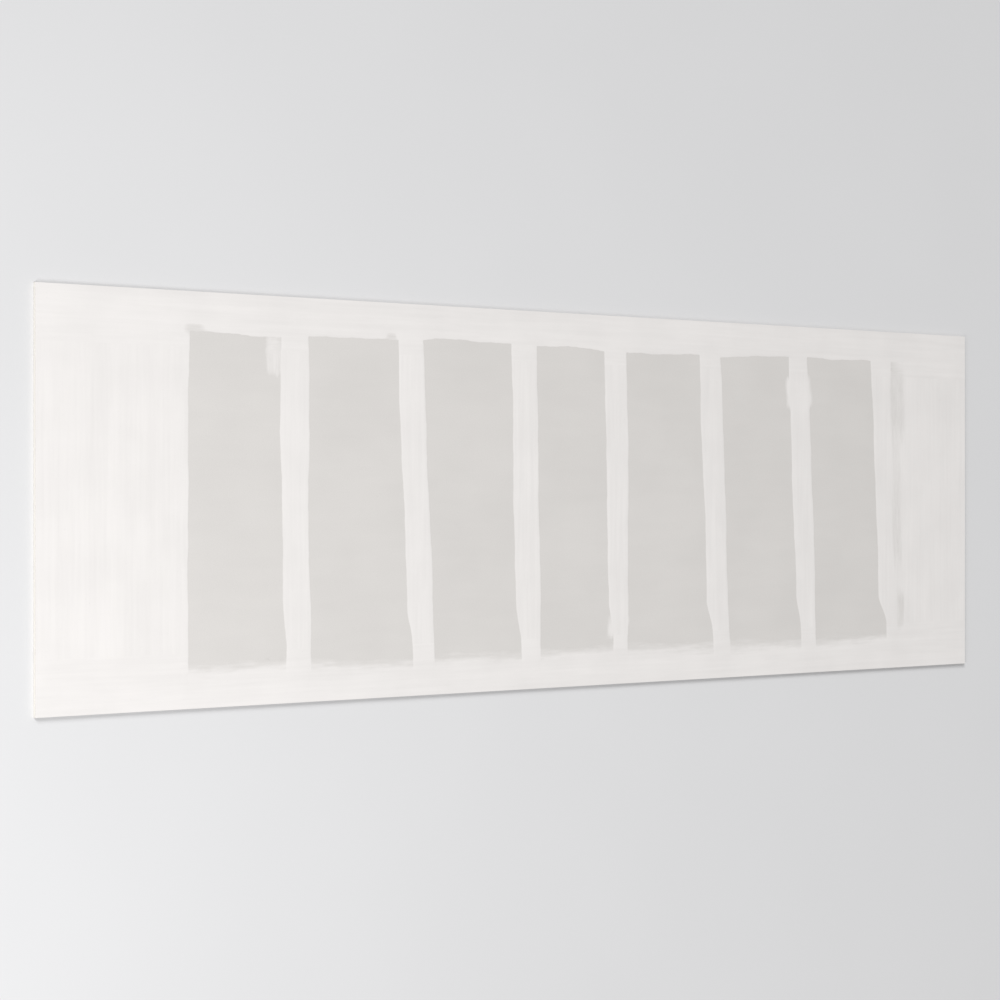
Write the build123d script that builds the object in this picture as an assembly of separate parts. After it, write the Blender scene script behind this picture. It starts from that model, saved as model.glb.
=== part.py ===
"""A drywall sheet: one tapered-edge gypsum board of a standard size, lying on its back with its face up.

Units are millimetres. The origin is the middle of the back, on the surface that the sheet lies on.
X runs along the sheet, Y across it, and Z out of its face.
"""

from build123d import *
import os

# The sheet as it is sold: 12 ft long, 4 ft wide and 1/2 in thick
sheet_length = 3657.6
sheet_width = 1219.2
sheet_thickness = 12.7

# The taper along each long edge is a shallow bed for tape and joint compound
taper_width = 60.0  # from the long edge to the line where the taper's slope meets the level face
taper_depth = 1.5  # how far that slope has fallen at the long edge
taper_shoulder_radius = 600.0  # the soft turn between the level face and the slope

# The paper folds round each long edge without a sharp corner
face_fold_radius = 2.2
back_fold_radius = 1.2


def long_edge_corners():
    """One long edge's corners in Y and Z, from the back to the level face, each with its radius."""
    edge_y = sheet_width / 2
    return [
        ((edge_y, 0), back_fold_radius),
        ((edge_y, sheet_thickness - taper_depth), face_fold_radius),
        ((edge_y - taper_width, sheet_thickness), taper_shoulder_radius),
    ]


def cross_section():
    """The outline that the board is formed to: the same edge on both sides, with arcs at all its corners."""
    near_edge = long_edge_corners()
    far_edge = [((-y, z), radius) for (y, z), radius in reversed(near_edge)]
    corners = near_edge + far_edge
    points = [point for point, radius in corners]
    radii = [radius for point, radius in corners]
    return FilletPolyline(points, radius=radii, close=True)


def drywall_sheet():
    """The board: its cross-section formed along X, with both ends cut square."""
    with BuildPart() as board:
        with BuildSketch(Plane.YZ):
            with BuildLine():
                cross_section()
            make_face()
        extrude(amount=sheet_length / 2, both=True)
    return board.part


os.makedirs("parts", exist_ok=True)
export_step(drywall_sheet(), "parts/drywall_sheet.step")
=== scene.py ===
"""The looks of a drywall sheet: its papers, its cut ends and the joint compound trowelled on its face.

Units are metres. X runs along the sheet, Y across it and Z out of its face, as in the CAD model.
The compound is real relief: thin slabs that sit in the face, each with the same height field on top.
"""

from collections import namedtuple
from math import cos, pi, radians, sin

import bpy
import numpy as np
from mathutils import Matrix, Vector


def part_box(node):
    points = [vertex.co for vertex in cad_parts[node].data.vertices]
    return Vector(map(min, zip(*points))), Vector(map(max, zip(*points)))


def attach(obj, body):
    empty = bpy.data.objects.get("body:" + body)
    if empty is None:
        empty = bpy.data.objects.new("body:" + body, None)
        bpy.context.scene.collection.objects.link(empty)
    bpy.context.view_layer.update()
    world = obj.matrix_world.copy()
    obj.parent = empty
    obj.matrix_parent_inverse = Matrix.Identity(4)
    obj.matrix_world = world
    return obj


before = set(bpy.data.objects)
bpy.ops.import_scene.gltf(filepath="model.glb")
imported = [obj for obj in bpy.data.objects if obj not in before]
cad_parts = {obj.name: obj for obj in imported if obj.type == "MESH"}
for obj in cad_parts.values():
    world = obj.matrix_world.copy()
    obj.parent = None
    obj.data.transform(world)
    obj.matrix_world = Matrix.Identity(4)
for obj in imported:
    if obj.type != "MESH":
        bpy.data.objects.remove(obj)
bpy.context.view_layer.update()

MM = 0.001
INCH = 0.0254

# The sheet, from the upper corner of its CAD box
NODE = "drywall_sheet"
BODY = "root"
HALF_LENGTH, HALF_WIDTH, FACE_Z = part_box(NODE)[1]

# The tapered long edges, as the CAD model has them
TAPER_WIDTH = 60 * MM
TAPER_DEPTH = 1.5 * MM

# The papers' thickness, and how far in from a long edge the face paper's lap on the back ends
PAPER_THICKNESS = 0.45 * MM
LAP_LEAST = 25 * MM
LAP_MOST = 31 * MM

# Studs behind the sheet when it hangs: the compound over its screws follows them
STUD_PITCH = 16 * INCH

# Colours, as sRGB values out of 255
FACE_PAPER = (214, 211, 208)
BACK_PAPER = (184, 174, 158)
COMPOUND = (232, 229, 227)
GYPSUM = (229, 226, 219)
FLOOR = (220, 220, 221)

# How many millimetres of coat hide the paper, and the full width in millimetres of the noise on that
HIDING_COAT = 0.16
HIDING_NOISE = 0.12

# The share of its brightness that face paper keeps where it laps the back, and that cut paper keeps
LAPPED_SHADE = 0.94
CUT_SHADE = 0.82

# How many times longer than wide the compound's streaks are, and its ragged spots where it is thin
STREAK_STRETCH = 25
RAGGED_STRETCH = 7

FACING = 0.7  # how much of a unit normal has to point along an axis for the surface to face that way

# Compound along the long edges: how far in it reaches, its height over the face, how softly it ends and
# how far its knife strokes stagger that end
Seam = namedtuple("Seam", "name side reach body feather stagger seed")
SEAMS = [
    Seam("seam_coat_upper", 1, 114 * MM, 0.42 * MM, 5 * MM, 1.5 * MM, 1921),
    Seam("seam_coat_lower", -1, 130 * MM, 0.46 * MM, 110 * MM, 9 * MM, 1101),
]
SEAM_CROWN = 0.2 * MM
SEAM_CROWN_WIDTH = 45 * MM

# Compound over the cut ends' joints, wider and built up higher because nothing is tapered there.
# lean is how much further it reaches at the lower long edge than at the upper
Butt = namedtuple("Butt", "name side reach lean body crown feather stagger seed")
BUTTS = [
    Butt("butt_coat_left", -1, 408 * MM, 0, 0.38 * MM, 0.5 * MM, 40 * MM, 4 * MM, 21),
    Butt("butt_coat_right", 1, 390 * MM, -10 * MM, 0.4 * MM, 0.5 * MM, 40 * MM, 5 * MM, 22),
]
BUTT_CROWN_WIDTH = 140 * MM
BAND_SWING = 8 * MM  # how far the inner edges of the seams' and the butts' compound wander

# Compound over the screws: each strip's shift from its stud and its width, at the upper and the lower
# edge, and how far its left side moves in at its foot, where the knife lifts off
Strip = namedtuple("Strip", "stud upper_shift upper_width lower_shift lower_width foot seed")
STRIPS = [
    Strip(1, 18 * MM, 108 * MM, 6 * MM, 106 * MM, 0, 31),
    Strip(2, 8 * MM, 96 * MM, 18 * MM, 95 * MM, 9 * MM, 32),
    Strip(3, 11 * MM, 96 * MM, 56 * MM, 93 * MM, 12 * MM, 33),
    Strip(4, 34 * MM, 109 * MM, 54 * MM, 89 * MM, 17 * MM, 34),
    Strip(5, -1 * MM, 94 * MM, 8 * MM, 81 * MM, 18 * MM, 35),
    Strip(6, -11 * MM, 90 * MM, 38 * MM, 102 * MM, 25 * MM, 36),
    Strip(7, -16 * MM, 89 * MM, 33 * MM, 88 * MM, 14 * MM, 37),
    Strip(8, -25 * MM, 102 * MM, 22 * MM, 90 * MM, 37 * MM, 38),
]
STRIP_BODY = 0.36 * MM
STRIP_FEATHER = 4 * MM
STRIP_STAGGER = 0.9 * MM
STRIP_SWING = 4 * MM  # how far a strip's sides wander
RIGHT_SIDE_SEED = 100  # added to a strip's seed, so that its right side wanders on its own
FOOT_TOP = -335 * MM  # where a strip's foot starts, and over what length its left side moves in
FOOT_LENGTH = 115 * MM

# Patches where the knife went over again: place, half-size along and across the sheet, height, how softly
# they end and how far the pull slants, in degrees. The thinnest is a film that the paper shows through
Patch = namedtuple("Patch", "x y along across body feather slant")
PATCHES = [
    Patch(111.6 * INCH - HALF_LENGTH, 380 * MM, 67 * MM, 62 * MM, 0.3 * MM, 30 * MM, 5),
    Patch(29.7 * INCH - HALF_LENGTH, 432 * MM, 31 * MM, 66 * MM, 0.1 * MM, 7 * MM, 2),
    Patch(80.2 * INCH - HALF_LENGTH, -420 * MM, 49 * MM, 44 * MM, 0.25 * MM, 30 * MM, -8),
]
PATCH_UNEVEN = 4 * MM  # how far a patch's sides swing either way
PATCH_RAGGED = 8 * MM  # how far its ends do
PATCH_ROUNDING = 9 * MM  # how round its corners are

# Places where the knife scraped the compound thin: place, half-size along and across, and the height left
Scrape = namedtuple("Scrape", "x y along across left")
SCRAPES = [
    Scrape(19.3 * INCH - HALF_LENGTH, 500 * MM, 48 * MM, 24 * MM, 0.07 * MM),
    Scrape(45.7 * INCH - HALF_LENGTH, 500 * MM, 27 * MM, 24 * MM, 0.06 * MM),
    Scrape(130.2 * INCH - HALF_LENGTH, 366 * MM, 52 * MM, 172 * MM, 0.08 * MM),
    Scrape(130.4 * INCH - HALF_LENGTH, -30 * MM, 36 * MM, 320 * MM, 0.095 * MM),
    Scrape(131.0 * INCH - HALF_LENGTH, -401 * MM, 24 * MM, 88 * MM, 0.07 * MM),
]
SCRAPE_SWING = 5 * MM  # how far they all wander along the sheet, in the same way
SCRAPE_SEED = 61

# The knife's strokes: their length, width and share. At a coat's edge they are long thin tongues with small
# nicks between, and on its surface narrow marks and broad swathes
Stroke = namedtuple("Stroke", "length width share seed")
EDGE_STROKES = [Stroke(120 * MM, 9 * MM, 0.7, 0), Stroke(22 * MM, 6 * MM, 0.3, 50)]
LENGTHWISE_STROKES = [Stroke(420 * MM, 11 * MM, 1, 43), Stroke(900 * MM, 34 * MM, 0.6, 44)]
CROSSWISE_STROKES = [Stroke(360 * MM, 11 * MM, 1, 45), Stroke(700 * MM, 38 * MM, 0.6, 46)]
STROKE_HEIGHT = 0.028 * MM
SWELL_HEIGHT = 0.05 * MM  # of the broad unevenness under the strokes
STROKES_FROM = 0.3 * MM  # how high a coat has to be to show them in full
SEAM_STROKES_FROM = 0.2 * MM  # how high a seam's coat has to be for all of them to run lengthwise

# The height field
WAVES = (1.3, 0.52, 0.21, 0.085, 0.034)  # the lengths of a hand-drawn line's swings, in metres
WAVES_SHARE = 0.6  # brings their sum to about -1 to 1
LATTICE = 256  # how many cells of noise there are each way before it repeats
DEEPEST = -0.4 * MM  # how far the field falls where there is no compound
DIVE = 0.05  # its slope outside a coat's edge
BLEND = 0.03 * MM  # how softly one coat runs onto another

# The slabs: how far the seams' and the butts' reach in, how far the strips' reach either way, and their grid
SEAM_SLAB_WIDTH = 162 * MM
SEAM_PARTING_Y = HALF_WIDTH - SEAM_SLAB_WIDTH
BUTT_PARTING_X = HALF_LENGTH - 360 * MM
STRIP_SLAB_HALF = 105 * MM
GRID = 3 * MM
INSET = 0.3 * MM  # how far the compound stops short of the sheet's own edges
SUNK = 0.6 * MM  # how far a slab's underside lies below the face it sits in
EDGE_UNDERSIDE_Z = FACE_Z - 2.4 * MM  # where it lies over a taper, at the long edge
CREASE = radians(35)  # where a slab's faces meet more sharply than this, its shading has an edge

# The camera is tipped from straight above its aim towards the sheet's left end
CAMERA_AIM = Vector((-0.254, 0.0, 0.0))
CAMERA_TILT = radians(34)
CAMERA_DISTANCE = 7.0
CAMERA_LENS = 78.7  # in millimetres, as the sensor is
CAMERA_SENSOR = 36.0

# Soft even light from the upper left and some more from the lower left, aimed at the middle of the
# sheet. size is an area lamp's side or a sun's angle
Lamp = namedtuple("Lamp", "name kind place energy size")
LAMPS = [
    Lamp("key", "SUN", (-5.0, 6.0, 6.2), 1.85, radians(28)),
    Lamp("window", "AREA", (-4.4, -1.6, 3.6), 110, 2.6),
]

# The world's light on the sheet, and how bright the backdrop itself looks
WORLD_LIGHT = 0.45
BACKDROP = 0.59

# The floor's half-size, and how far it lies under the sheet
FLOOR_REACH = 40.0
FLOOR_GAP = 0.3 * MM


def smooth(t):
    """A smooth step from 0 to 1 as t goes from 0 to 1."""
    t = np.clip(t, 0, 1)
    return t * t * (3 - 2 * t)


def wander(along, seed, swing):
    """A hand-drawn line's drift: long slow swings with small quick ones on them, about -swing to swing."""
    rng = np.random.default_rng(seed)
    drift = np.zeros_like(along)
    for wave in WAVES:
        wave = wave * rng.uniform(0.8, 1.2)
        drift += wave**0.75 * np.sin(2 * pi * along / wave + rng.uniform(0, 2 * pi))
    return swing * WAVES_SHARE * drift


def blotches(x, y, cell_x, cell_y, seed):
    """Smooth noise over the sheet, from -1 to 1, with spots about cell_x by cell_y."""
    lattice = np.random.default_rng(seed).uniform(-1, 1, (LATTICE, LATTICE))
    u, v = x / cell_x + LATTICE, y / cell_y + LATTICE
    i, j = np.floor(u).astype(int), np.floor(v).astype(int)
    fu, fv = smooth(u - i), smooth(v - j)
    i_next, j_next = (i + 1) % LATTICE, (j + 1) % LATTICE
    i, j = i % LATTICE, j % LATTICE
    low = lattice[i, j] * (1 - fu) + lattice[i_next, j] * fu
    high = lattice[i, j_next] * (1 - fu) + lattice[i_next, j_next] * fu
    return low * (1 - fv) + high * fv


def knife_strokes(x, y, kinds, lengthwise, seed=0):
    """The strokes of these kinds together, along the sheet or across it."""
    together = 0
    for kind in kinds:
        cell_x, cell_y = (kind.length, kind.width) if lengthwise else (kind.width, kind.length)
        together = together + kind.share * blotches(x, y, cell_x, cell_y, kind.seed + seed)
    return together


def coat(inside, body, feather):
    """A coat's height at a distance inside its edge. Outside, it dips under the paper."""
    rise = body * (1 - np.exp(-np.maximum(inside, 0) / feather))
    return rise + DIVE * np.minimum(inside, 0)


def crown(distance, height, width):
    """What is built up over a joint, at a distance from it."""
    return height * np.exp(-((distance / width) ** 2))


def seam_height(x, y, seam):
    """The compound along one long edge."""
    from_edge = HALF_WIDTH - seam.side * y
    tongues = seam.stagger * knife_strokes(x, y, EDGE_STROKES, True, seam.seed)
    reach = seam.reach + wander(x, seam.seed, BAND_SWING) + tongues
    return coat(reach - from_edge, seam.body, seam.feather) + crown(from_edge, SEAM_CROWN, SEAM_CROWN_WIDTH)


def butt_height(x, y, butt):
    """The compound over one cut end's joint."""
    from_end = HALF_LENGTH - butt.side * x
    lean = butt.lean * (HALF_WIDTH - y) / (2 * HALF_WIDTH)
    tongues = butt.stagger * knife_strokes(x, y, EDGE_STROKES, False, butt.seed)
    reach = butt.reach + lean + wander(y, butt.seed, BAND_SWING) + tongues
    return coat(reach - from_end, butt.body, butt.feather) + crown(from_end, butt.crown, BUTT_CROWN_WIDTH)


def stud_x(strip):
    """Where the strip's stud is."""
    return strip.stud * STUD_PITCH - HALF_LENGTH


def strip_height(x, y, strip):
    """One strip of compound over a stud's screws."""
    up = (y + HALF_WIDTH) / (2 * HALF_WIDTH)
    middle = stud_x(strip) + strip.lower_shift + (strip.upper_shift - strip.lower_shift) * up
    width = strip.lower_width + (strip.upper_width - strip.lower_width) * up
    foot = strip.foot * smooth((FOOT_TOP - y) / FOOT_LENGTH)
    left = middle - width / 2 + foot + wander(y, strip.seed, STRIP_SWING)
    right = middle + width / 2 + wander(y, strip.seed + RIGHT_SIDE_SEED, STRIP_SWING)
    tongues = STRIP_STAGGER * knife_strokes(x, y, EDGE_STROKES, False, strip.seed)
    return coat(np.minimum(x - left, right - x) + tongues, STRIP_BODY, STRIP_FEATHER)


def patch_height(x, y, patch):
    """One short pull of the knife: an oblong as wide as the blade, with uneven sides and ragged ends."""
    turn = radians(patch.slant)
    along = (x - patch.x) * cos(turn) + (y - patch.y) * sin(turn)
    across = (y - patch.y) * cos(turn) - (x - patch.x) * sin(turn)
    uneven = PATCH_UNEVEN * blotches(x, y, cell_x=26 * MM, cell_y=40 * MM, seed=53)
    ragged = PATCH_RAGGED * blotches(along, across, cell_x=7 * MM, cell_y=45 * MM, seed=51)
    beside = patch.along - np.abs(along) + uneven
    beyond = patch.across - np.abs(across) + ragged
    inside = -PATCH_ROUNDING * np.logaddexp(-beside / PATCH_ROUNDING, -beyond / PATCH_ROUNDING)
    return coat(inside, patch.body, patch.feather)


def scraped(x, y, height):
    """The height once the scrapes have thinned it."""
    drift = wander(y, SCRAPE_SEED, SCRAPE_SWING)
    for scrape in SCRAPES:
        away = ((x - scrape.x - drift) / scrape.along) ** 4 + ((y - scrape.y) / scrape.across) ** 4
        pressed = np.exp(-away)
        height = height * (1 - pressed) + np.minimum(height, scrape.left) * pressed
    return height


def compound_height(x, y):
    """How far the compound's surface lies above the level face. Below zero, only paper shows."""
    seams = [seam_height(x, y, seam) for seam in SEAMS]
    others = [butt_height(x, y, butt) for butt in BUTTS]
    others += [strip_height(x, y, strip) for strip in STRIPS]
    others += [patch_height(x, y, patch) for patch in PATCHES]
    height = np.logaddexp.reduce(np.array(seams + others) / BLEND) * BLEND
    height = scraped(x, y, np.maximum(height, DEEPEST))

    # The strokes run along the sheet in the seams, and across it elsewhere
    in_seam = smooth(np.maximum(*seams) / SEAM_STROKES_FROM)
    lengthwise = knife_strokes(x, y, LENGTHWISE_STROKES, True)
    crosswise = knife_strokes(x, y, CROSSWISE_STROKES, False)
    strokes = lengthwise * in_seam + crosswise * (1 - in_seam)
    swells = blotches(x, y, cell_x=130 * MM, cell_y=110 * MM, seed=47)
    return height + smooth(height / STROKES_FROM) * (STROKE_HEIGHT * strokes + SWELL_HEIGHT * swells)


def even(low, high):
    """Places from low to high, about a grid step apart."""
    return np.linspace(low, high, max(2, round((high - low) / GRID) + 1))


def level_underside(y):
    """An underside that lies level just under the face."""
    return np.full_like(y, FACE_Z - SUNK)


def seam_underside(y):
    """An underside that tilts from just under the face down to the rounded long edge."""
    across = (np.abs(y) - SEAM_PARTING_Y) / SEAM_SLAB_WIDTH
    return FACE_Z - SUNK + (EDGE_UNDERSIDE_Z - FACE_Z + SUNK) * across


def closed_faces(index, rim):
    """A slab's faces: its top over the grid of vertices, walls down from its rim, and an underside.

    The vertices under the rim are numbered after the grid's, in the rim's order.
    """
    quads = np.stack([index[:-1, :-1], index[1:, :-1], index[1:, 1:], index[:-1, 1:]], axis=-1)
    faces = quads.reshape(-1, 4).tolist()
    rim = rim.tolist()
    under = {v: index.size + k for k, v in enumerate(rim)}
    for v, v_next in zip(rim, rim[1:] + rim[:1]):
        faces.append((v_next, v, under[v], under[v_next]))
    low_side = [under[v] for v in index[:, 0].tolist()]
    high_side = [under[v] for v in index[:, -1].tolist()]
    first_end = [under[v] for v in index[0].tolist()]
    last_end = [under[v] for v in index[-1].tolist()]
    faces.append(first_end + [high_side[1], low_side[1]])
    for k in range(1, len(index) - 2):
        faces.append((low_side[k], high_side[k], high_side[k + 1], low_side[k + 1]))
    faces.append([low_side[-2], high_side[-2]] + last_end[::-1])
    return faces


def slab(name, xs, ys, underside):
    """A closed thin piece: the height field over a grid, walls round it and an underside in the board."""
    x, y = np.meshgrid(xs, ys, indexing="ij")
    height = compound_height(x, y)
    top = np.stack([x, y, FACE_Z + height], axis=-1).reshape(-1, 3)
    index = np.arange(x.size).reshape(x.shape)
    rim = np.concatenate([index[:-1, 0], index[-1, :-1], index[:0:-1, -1], index[0, :0:-1]])
    under = top[rim]
    under[:, 2] = underside(under[:, 1])

    mesh = bpy.data.meshes.new(name)
    mesh.from_pydata(np.concatenate([top, under]).tolist(), [], closed_faces(index, rim))
    thickness = mesh.attributes.new("coat", "FLOAT", "POINT")
    thickness.data.foreach_set("value", np.concatenate([height.ravel(), height.ravel()[rim]]) / MM)
    mesh.shade_smooth()
    mesh.set_sharp_from_angle(angle=CREASE)
    piece = bpy.data.objects.new(name, mesh)
    bpy.context.collection.objects.link(piece)
    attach(piece, BODY)
    return piece


def seam_slab(seam):
    """The piece of compound along one long edge, from end to end."""
    end = HALF_LENGTH - INSET
    ys = np.sort(even(SEAM_PARTING_Y, HALF_WIDTH - INSET) * seam.side)
    return slab(seam.name, even(-end, end), ys, seam_underside)


def butt_slab(butt):
    """The piece of compound at one cut end, between the seams."""
    xs = np.sort(even(BUTT_PARTING_X, HALF_LENGTH - INSET) * butt.side)
    return slab(butt.name, xs, even(-SEAM_PARTING_Y, SEAM_PARTING_Y), level_underside)


def strip_slab(strip):
    """The piece of compound over one stud, between the seams and no further out than the butts' pieces."""
    middle = stud_x(strip) + (strip.upper_shift + strip.lower_shift) / 2
    low = max(middle - STRIP_SLAB_HALF, -BUTT_PARTING_X)
    high = min(middle + STRIP_SLAB_HALF, BUTT_PARTING_X)
    name = f"screw_coat_{strip.stud}"
    return slab(name, even(low, high), even(-SEAM_PARTING_Y, SEAM_PARTING_Y), level_underside)


class Nodes:
    """A material's node tree, written as expressions."""

    def __init__(self, name):
        self.material = bpy.data.materials.new(name)
        self.material.use_nodes = True
        self.tree = self.material.node_tree
        self.tree.nodes.clear()

    def add(self, kind, values=(), **settings):
        """A node of this kind. values maps an input's name or number to a number, colour or other output."""
        node = self.tree.nodes.new(kind)
        for key, value in settings.items():
            setattr(node, key, value)
        for key, value in dict(values).items():
            if isinstance(value, bpy.types.NodeSocket):
                self.tree.links.new(value, node.inputs[key])
            else:
                node.inputs[key].default_value = value
        return node

    def maths(self, operation, *values, clamp=False):
        """One operation on as many values as it takes."""
        node = self.add("ShaderNodeMath", enumerate(values), operation=operation, use_clamp=clamp)
        return node.outputs[0]

    def chain(self, operation, first, *others):
        """The values joined one after another by an operation that takes two."""
        for other in others:
            first = self.maths(operation, first, other)
        return first

    def ramp(self, value, low, high, to_low=0.0, to_high=1.0):
        """A smooth step from to_low to to_high as value goes from low to high."""
        values = {0: value, 1: low, 2: high, 3: to_low, 4: to_high}
        return self.add("ShaderNodeMapRange", values, interpolation_type="SMOOTHSTEP").outputs[0]

    def tone(self, noise, dark, light, spread=0.2):
        """A grey factor that goes from dark to light over the middle of a noise, a spread either way."""
        return self.ramp(noise, 0.5 - spread, 0.5 + spread, dark, light)

    def mix(self, share, first, second):
        """The first colour at a share of 0, and the second at 1."""
        node = self.add("ShaderNodeMix", {0: share, 6: first, 7: second}, data_type="RGBA")
        return node.outputs[2]

    def tint(self, colour, factor):
        """The colour times a grey factor."""
        node = self.add("ShaderNodeVectorMath", {0: colour, "Scale": factor}, operation="SCALE")
        return node.outputs[0]

    def place(self):
        """Where a point is on the sheet."""
        return self.add("ShaderNodeTexCoord").outputs["Object"]

    def parts(self, vector):
        """A vector's X, Y and Z."""
        return list(self.add("ShaderNodeSeparateXYZ", {0: vector}).outputs)

    def noise(self, vector, scale, detail=2.0, roughness=0.5, stretch=(1, 1, 1)):
        """Noise from 0 to 1. stretch makes its spots that many times longer along each axis."""
        squeeze = tuple(1 / s for s in stretch)
        scaled = self.add("ShaderNodeVectorMath", {0: vector, 1: squeeze}, operation="MULTIPLY").outputs[0]
        values = {"Vector": scaled, "Scale": scale, "Detail": detail, "Roughness": roughness}
        return self.add("ShaderNodeTexNoise", values).outputs[0]

    def bump(self, height, distance=1.0):
        """The normal of a surface with this relief. Heights are in metres where distance is 1."""
        values = {"Height": height, "Distance": distance, "Strength": 1.0}
        return self.add("ShaderNodeBump", values).outputs[0]

    def surface(self, colour, roughness, normal, specular=0.3):
        """The finished material."""
        values = {
            "Base Color": colour,
            "Roughness": roughness,
            "Normal": normal,
            "Specular IOR Level": specular,
        }
        shader = self.add("ShaderNodeBsdfPrincipled", values)
        self.add("ShaderNodeOutputMaterial", {"Surface": shader.outputs[0]})
        return self.material


def linear(srgb):
    """An sRGB colour out of 255 as Blender's linear red, green and blue."""
    channels = [c / 255 for c in srgb]
    return tuple(c / 12.92 if c <= 0.04045 else ((c + 0.055) / 1.055) ** 2.4 for c in channels)


def face_paper(nodes, vector):
    """The face paper's colour and its fibres: smooth pale grey with faint clouds and a few flecks."""
    clouds = nodes.noise(vector, 3.2, detail=3)
    pressing = nodes.noise(vector, 22, stretch=(5, 1, 1))
    fibres = nodes.noise(vector, 620, detail=3, roughness=0.6, stretch=(2.5, 1, 1))
    flecks = nodes.noise(vector, 240, detail=1)
    tone = nodes.chain(
        "MULTIPLY",
        nodes.tone(clouds, 0.982, 1.014),
        nodes.tone(pressing, 0.993, 1.007),
        nodes.tone(fibres, 0.97, 1.03, spread=0.25),
        nodes.ramp(flecks, 0.74, 0.8, 1.0, 0.9),
    )
    return nodes.tint(linear(FACE_PAPER), tone), fibres


def back_paper(nodes, vector):
    """The back paper's colour and height: browner and coarser than the face paper."""
    clouds = nodes.noise(vector, 6, detail=3)
    fibres = nodes.noise(vector, 360, detail=4, roughness=0.65, stretch=(3, 1, 1))
    cloudy = nodes.tone(clouds, 0.97, 1.03)
    fibrous = nodes.tone(fibres, 0.9, 1.08, spread=0.25)
    colour = nodes.tint(linear(BACK_PAPER), nodes.maths("MULTIPLY", cloudy, fibrous))
    return colour, nodes.maths("MULTIPLY", fibres, 0.3 * MM)


def gypsum(nodes, vector):
    """The cut gypsum's colour and height: pale and grainy, with scrapes across it and small pores."""
    grains = nodes.noise(vector, 1500, detail=3, roughness=0.6)
    scrapes = nodes.noise(vector, 120, detail=3, stretch=(1, 1, 0.3))
    pore = nodes.add("ShaderNodeTexVoronoi", {"Vector": vector, "Scale": 700}).outputs
    pore_size = nodes.ramp(pore["Color"], 0.25, 0.8, 0.0, 0.28)
    from_pore = nodes.maths("SUBTRACT", pore["Distance"], pore_size)
    solid = nodes.maths("MULTIPLY_ADD", from_pore, 9.0, 0.4, clamp=True)
    # The pores are sunk in the height and also darkened in colour: painted shade in the pores
    tone = nodes.chain(
        "MULTIPLY",
        nodes.ramp(solid, 0.0, 1.0, 0.84, 1.0),
        nodes.tone(grains, 0.96, 1.03, spread=0.25),
        nodes.tone(scrapes, 0.97, 1.02),
    )
    height = nodes.maths("MULTIPLY_ADD", solid, 0.15 * MM, nodes.maths("MULTIPLY", grains, 0.12 * MM))
    height = nodes.maths("MULTIPLY_ADD", scrapes, 0.35 * MM, height)
    return nodes.tint(linear(GYPSUM), tone), height


def board_material():
    """One material for the whole board, which tells its face, long edges, back and cut ends apart."""
    nodes = Nodes("board")
    vector = nodes.place()
    y, z = nodes.parts(vector)[1:]
    from_middle = nodes.maths("ABSOLUTE", y)
    normal = nodes.parts(nodes.add("ShaderNodeNewGeometry").outputs["True Normal"])
    end = nodes.maths("GREATER_THAN", nodes.maths("ABSOLUTE", normal[0]), FACING)
    below = nodes.maths("LESS_THAN", normal[2], -FACING)

    face_colour, face_fibres = face_paper(nodes, vector)
    back_colour, back_height = back_paper(nodes, vector)
    gypsum_colour, gypsum_height = gypsum(nodes, vector)

    # The face paper laps onto the back along each long edge
    lap_drift = nodes.noise(vector, 2.5, stretch=(1, 40, 1))
    lap_edge = nodes.ramp(lap_drift, 0.2, 0.8, HALF_WIDTH - LAP_MOST, HALF_WIDTH - LAP_LEAST)
    lap = nodes.maths("GREATER_THAN", from_middle, lap_edge)
    under_colour = nodes.mix(lap, back_colour, nodes.tint(face_colour, LAPPED_SHADE))
    under_height = nodes.maths("MULTIPLY_ADD", lap, -0.3 * MM, back_height)

    # A cut end shows the gypsum between its two papers. The upper one follows the taper
    fall = nodes.ramp(from_middle, HALF_WIDTH - TAPER_WIDTH, HALF_WIDTH, 0.0, TAPER_DEPTH)
    from_face = nodes.chain("SUBTRACT", FACE_Z, fall, z)
    from_long_edge = nodes.maths("SUBTRACT", HALF_WIDTH, from_middle)
    skin = nodes.chain("MINIMUM", from_face, z, from_long_edge)
    core = nodes.ramp(skin, PAPER_THICKNESS * 0.7, PAPER_THICKNESS * 1.2)
    end_colour = nodes.mix(core, nodes.tint(back_colour, CUT_SHADE), gypsum_colour)

    colour = nodes.mix(below, face_colour, under_colour)
    colour = nodes.mix(end, colour, end_colour)
    height = nodes.chain(
        "ADD",
        nodes.maths("MULTIPLY", face_fibres, 0.12 * MM),
        nodes.maths("MULTIPLY", below, under_height),
        nodes.maths("MULTIPLY", end, gypsum_height),
    )
    roughness = nodes.ramp(face_fibres, 0.2, 0.8, 0.78, 0.9)
    return nodes.surface(colour, roughness, nodes.bump(height))


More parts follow.
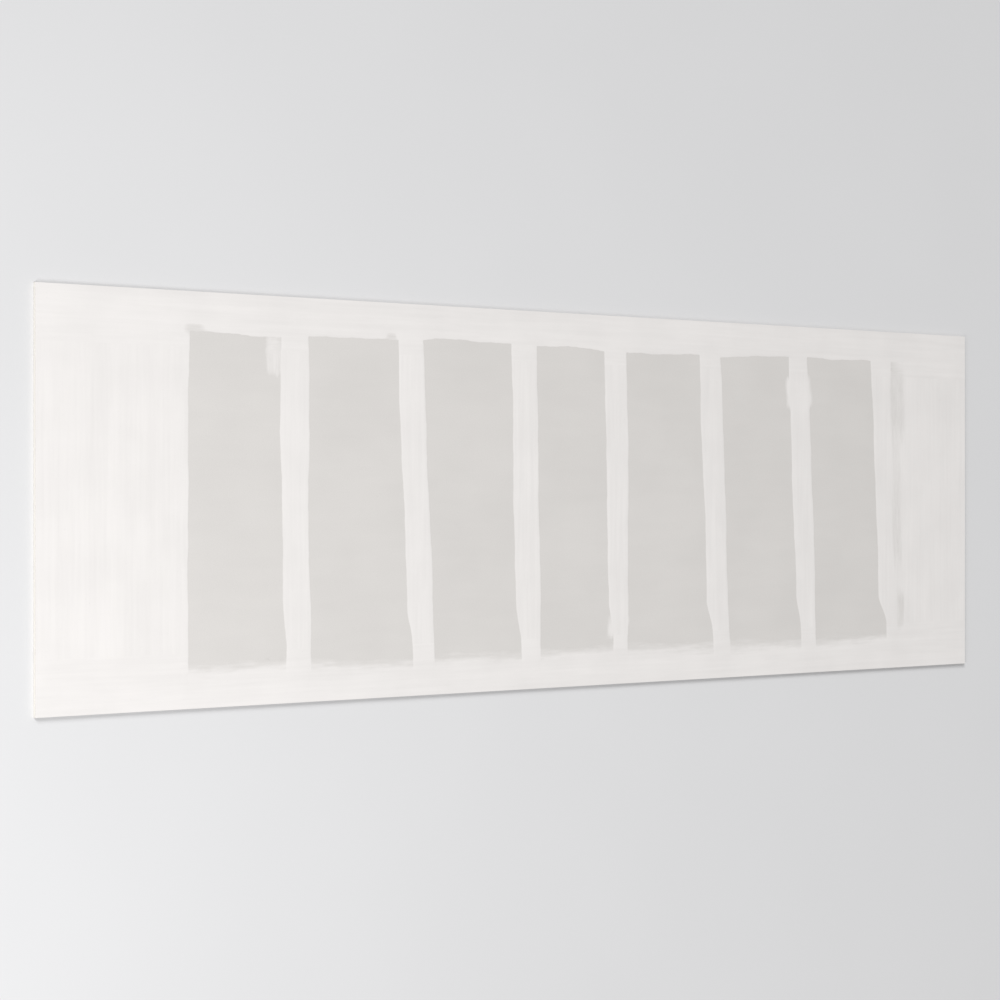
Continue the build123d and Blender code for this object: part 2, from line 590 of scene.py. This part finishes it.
def compound_material(name, lengthwise):
    """Dried joint compound, pulled along the sheet or across it. Paper shows where its coat is thin."""
    nodes = Nodes(name)
    vector = nodes.place()
    streaked = (STREAK_STRETCH, 1, 1) if lengthwise else (1, STREAK_STRETCH, 1)
    torn = (RAGGED_STRETCH, 1, 1) if lengthwise else (1, RAGGED_STRETCH, 1)
    streaks = nodes.noise(vector, 95, detail=3, roughness=0.6, stretch=streaked)
    swathes = nodes.noise(vector, 24, stretch=streaked)
    clouds = nodes.noise(vector, 7, detail=3)
    chalk = nodes.noise(vector, 900, detail=3, roughness=0.7)
    pits = nodes.noise(vector, 330, detail=1)
    # The pits are sunk in the height and also darkened in colour: painted shade in the pits
    tone = nodes.chain(
        "MULTIPLY",
        nodes.tone(clouds, 0.985, 1.012),
        nodes.tone(swathes, 0.988, 1.01),
        nodes.tone(streaks, 0.985, 1.013, spread=0.25),
        nodes.tone(chalk, 0.985, 1.015, spread=0.25),
        nodes.ramp(pits, 0.77, 0.82, 1.0, 0.88),
    )
    height = nodes.chain(
        "ADD",
        nodes.maths("MULTIPLY", streaks, 0.22 * MM),
        nodes.maths("MULTIPLY", swathes, 0.35 * MM),
        nodes.maths("MULTIPLY", chalk, 0.08 * MM),
        nodes.ramp(pits, 0.76, 0.84, 0.0, -0.3 * MM),
    )

    coat_mm = nodes.add("ShaderNodeAttribute", attribute_name="coat").outputs["Fac"]
    ragged = nodes.noise(vector, 120, detail=4, roughness=0.6, stretch=torn)
    worn = nodes.maths("MULTIPLY_ADD", nodes.maths("SUBTRACT", ragged, 0.5), HIDING_NOISE, coat_mm)
    cover = nodes.ramp(worn, 0.0, HIDING_COAT)
    paper = face_paper(nodes, vector)[0]
    colour = nodes.mix(cover, paper, nodes.tint(linear(COMPOUND), tone))
    roughness = nodes.ramp(streaks, 0.2, 0.8, 0.62, 0.8)
    return nodes.surface(colour, roughness, nodes.bump(height))


def floor_material():
    """A plain pale matt floor with a faint grain."""
    nodes = Nodes("floor")
    vector = nodes.place()
    clouds = nodes.noise(vector, 1.5)
    grain = nodes.noise(vector, 300)
    colour = nodes.tint(linear(FLOOR), nodes.tone(clouds, 0.995, 1.005))
    return nodes.surface(colour, 0.8, nodes.bump(grain, 0.1 * MM), specular=0.2)


def floor():
    """A wide floor just under the sheet."""
    signs = ((-1, -1), (1, -1), (1, 1), (-1, 1))
    corners = [(FLOOR_REACH * x, FLOOR_REACH * y, -FLOOR_GAP) for x, y in signs]
    mesh = bpy.data.meshes.new("floor")
    mesh.from_pydata(corners, [], [(0, 1, 2, 3)])
    mesh.materials.append(floor_material())
    plane = bpy.data.objects.new("floor", mesh)
    bpy.context.collection.objects.link(plane)


def camera():
    """Looks down on the sheet at the photograph's angle to it, with +Y up the picture."""
    data = bpy.data.cameras.new("camera")
    data.lens, data.sensor_width = CAMERA_LENS, CAMERA_SENSOR
    data.clip_start, data.clip_end = 0.1, 200.0
    view = bpy.data.objects.new("camera", data)
    view.location = CAMERA_AIM + CAMERA_DISTANCE * Vector((-sin(CAMERA_TILT), 0.0, cos(CAMERA_TILT)))
    view.rotation_euler = (0.0, -CAMERA_TILT, 0.0)
    bpy.context.collection.objects.link(view)
    bpy.context.scene.camera = view


def add_lamp(lamp):
    """One soft lamp, aimed at the middle of the sheet."""
    data = bpy.data.lights.new(lamp.name, lamp.kind)
    data.energy = lamp.energy
    if lamp.kind == "SUN":
        data.angle = lamp.size
    else:
        data.size = lamp.size
    light = bpy.data.objects.new(lamp.name, data)
    light.location = lamp.place
    light.rotation_euler = (-Vector(lamp.place)).to_track_quat("-Z", "Y").to_euler()
    bpy.context.collection.objects.link(light)


def backdrop():
    """A pale world. Camera, glossy and transmission rays see it at its own brightness."""
    world = bpy.data.worlds.new("world")
    bpy.context.scene.world = world
    world.use_nodes = True
    tree = world.node_tree
    background = tree.nodes["Background"]
    background.inputs["Color"].default_value = (1, 1, 1, 1)
    strength = tree.nodes.new("ShaderNodeMapRange")
    strength.inputs["To Min"].default_value = WORLD_LIGHT
    strength.inputs["To Max"].default_value = BACKDROP
    rays = tree.nodes.new("ShaderNodeLightPath").outputs
    seen = rays["Is Camera Ray"]
    for ray in ("Is Glossy Ray", "Is Transmission Ray"):
        either = tree.nodes.new("ShaderNodeMath")
        either.operation = "MAXIMUM"
        tree.links.new(seen, either.inputs[0])
        tree.links.new(rays[ray], either.inputs[1])
        seen = either.outputs[0]
    tree.links.new(seen, strength.inputs["Value"])
    tree.links.new(strength.outputs["Result"], background.inputs["Strength"])


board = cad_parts[NODE]
board.material_slots[0].material = board_material()

along_sheet = compound_material("compound_along", lengthwise=True)
across_sheet = compound_material("compound_across", lengthwise=False)
for seam in SEAMS:
    seam_slab(seam).data.materials.append(along_sheet)
for butt in BUTTS:
    butt_slab(butt).data.materials.append(across_sheet)
for strip in STRIPS:
    strip_slab(strip).data.materials.append(across_sheet)

floor()
camera()
for lamp in LAMPS:
    add_lamp(lamp)
backdrop()
bpy.context.scene.view_settings.view_transform = "Standard"
